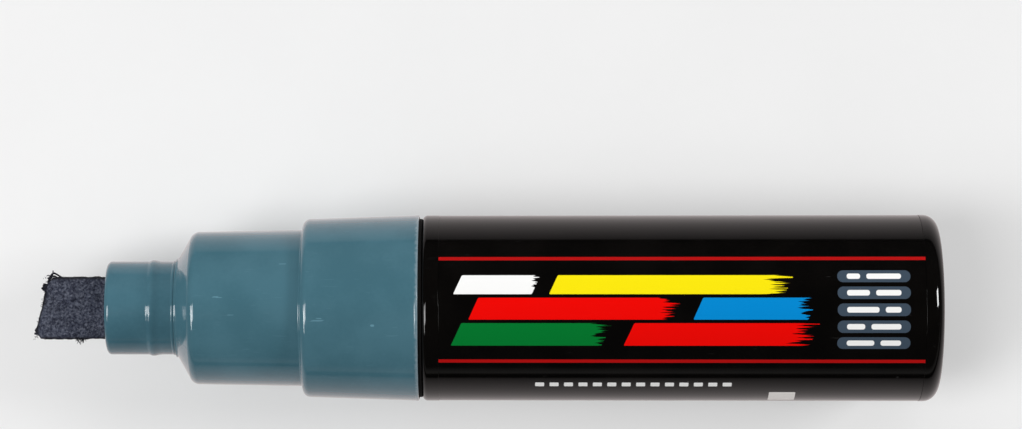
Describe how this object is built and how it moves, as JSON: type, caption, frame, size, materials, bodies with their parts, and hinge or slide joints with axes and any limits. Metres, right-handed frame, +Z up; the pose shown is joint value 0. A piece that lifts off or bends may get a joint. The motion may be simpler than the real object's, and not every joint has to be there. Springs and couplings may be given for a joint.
{
  "type": "paint marker",
  "caption": "Valve-action paint marker without its cap: black film-wrapped barrel, slate-blue grip collar and nose, and a broad felt chisel nib that is pressed in to let paint through",
  "frame": {"origin": "under the middle of the marker on the surface that it lies on", "axes": "+X runs along the marker from the nib to the rear end, +Y across it, +Z up; the broad face of the nib looks up"},
  "size_m": [0.1169, 0.0242, 0.0242],
  "materials": {
    "barrel_black": "polished black moulding with fine handling scratches",
    "film_black": "glossy black film with two thin red lines and plain colour patches",
    "front_slate_blue": "satin-gloss slate-blue moulding, rubbed at its edges",
    "holder_slate_blue": "satin-gloss slate-blue moulding",
    "nib_felt": "pressed felt soaked with dark paint, frayed at the tip",
    "seal_rubber": "matt",
    "housing_white": "natural moulding",
    "stem_grey": "natural moulding",
    "gasket_rubber": "matt",
    "retainer_white": "natural moulding",
    "spring_steel": "drawn stainless wire",
    "ball_steel": "ground"
  },
  "bodies": {
    "marker": {"barrel": "barrel_black", "wrap_film": "film_black", "front_barrel": "front_slate_blue", "tip_holder": "holder_slate_blue", "barrel_seal": "seal_rubber", "valve_housing": "housing_white", "spring_retainer": "retainer_white", "valve_spring": "spring_steel"},
    "valve": {"valve_stem": "stem_grey", "valve_gasket": "gasket_rubber"},
    "nib": {"nib": "nib_felt"},
    "ball": {"mixing_ball": "ball_steel"}
  },
  "joints": [
    {"name": "valve_press", "type": "slide", "parent": "marker", "child": "valve", "axis": [1, 0, 0], "range_m": [0, 0.0025], "stiffness_N_per_m": 1200, "springref_m": -0.001, "deforming": ["valve_spring"]},
    {"name": "nib_pull", "type": "slide", "parent": "valve", "child": "nib", "axis": [-1, 0, 0], "range_m": [0, 0.02]},
    {"name": "ball_roll", "type": "slide", "parent": "marker", "child": "ball", "axis": [-1, 0, 0], "range_m": [-0.0034, 0.0439]}
  ]
}
